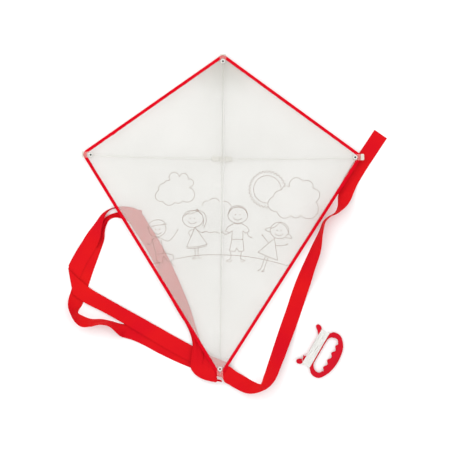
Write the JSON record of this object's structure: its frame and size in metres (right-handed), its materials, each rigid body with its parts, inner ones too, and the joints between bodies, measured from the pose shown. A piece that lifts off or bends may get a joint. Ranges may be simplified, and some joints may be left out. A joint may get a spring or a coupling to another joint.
{
  "type": "diamond kite",
  "caption": "Child's diamond kite lying face up: thin fabric sail with a bound edge, two crossed rods, corner fittings, bridle thread, ribbon tails and a hand winder with its line.",
  "frame": {"origin": "on the flat back of the spar clip, straight under the crossing of the two spars, at floor level", "axes": "+X to the kite's right wing as seen from the front, +Y along the spine towards the nose, +Z out of the sail's front, up from the floor"},
  "size_m": [0.6933, 0.7372, 0.0337],
  "materials": {
    "sail_fabric": "thin white translucent woven polyester",
    "binding_tape": "red woven edge tape, folded over and stitched",
    "tail_ribbon": "thin red ribbon with a slight sheen",
    "spar_rod": "pultruded fibreglass, satin",
    "fitting_plastic": "translucent cream moulded plastic",
    "eyelet_plastic": "white moulded plastic",
    "line_thread": "thin twisted off-white thread",
    "winder_plastic": "red moulded plastic, satin gloss"
  },
  "bodies": {
    "kite": {"spine_rod": "spar_rod", "spreader_rod": "spar_rod", "spar_clip": "fitting_plastic", "sail_center": "sail_fabric", "binding_nose": "binding_tape", "binding_tail": "binding_tape", "fitting_nose": "fitting_plastic", "fitting_tail": "fitting_plastic", "eyelet_nose": "eyelet_plastic", "eyelet_tail": "eyelet_plastic", "washer_nose": "eyelet_plastic", "washer_tail": "eyelet_plastic", "tail_ribbon_long": "tail_ribbon", "tail_ribbon_looped": "tail_ribbon", "bridle_thread": "line_thread"},
    "left_wing": {"sail_left": "sail_fabric", "binding_left": "binding_tape", "fitting_left": "fitting_plastic", "eyelet_left": "eyelet_plastic", "washer_left": "eyelet_plastic"},
    "right_wing": {"sail_right": "sail_fabric", "binding_right": "binding_tape", "fitting_right": "fitting_plastic", "eyelet_right": "eyelet_plastic", "washer_right": "eyelet_plastic"},
    "winder": {"winder_handle": "winder_plastic", "line_winding": "line_thread", "line_end": "line_thread"}
  },
  "joints": [
    {"name": "left_wing_fold", "type": "hinge", "parent": "kite", "child": "left_wing", "pos_m": [-0.0085, 0, 0.0121], "axis": [0, 1, 0], "range_deg": [0, 87]},
    {"name": "right_wing_fold", "type": "hinge", "parent": "kite", "child": "right_wing", "pos_m": [0.0085, 0, 0.0121], "axis": [0, -1, 0], "range_deg": [0, 87]},
    {"name": "winder_lift", "type": "slide", "parent": "kite", "child": "winder", "axis": [0, 0, 1], "range_m": [0, 0.05]}
  ]
}
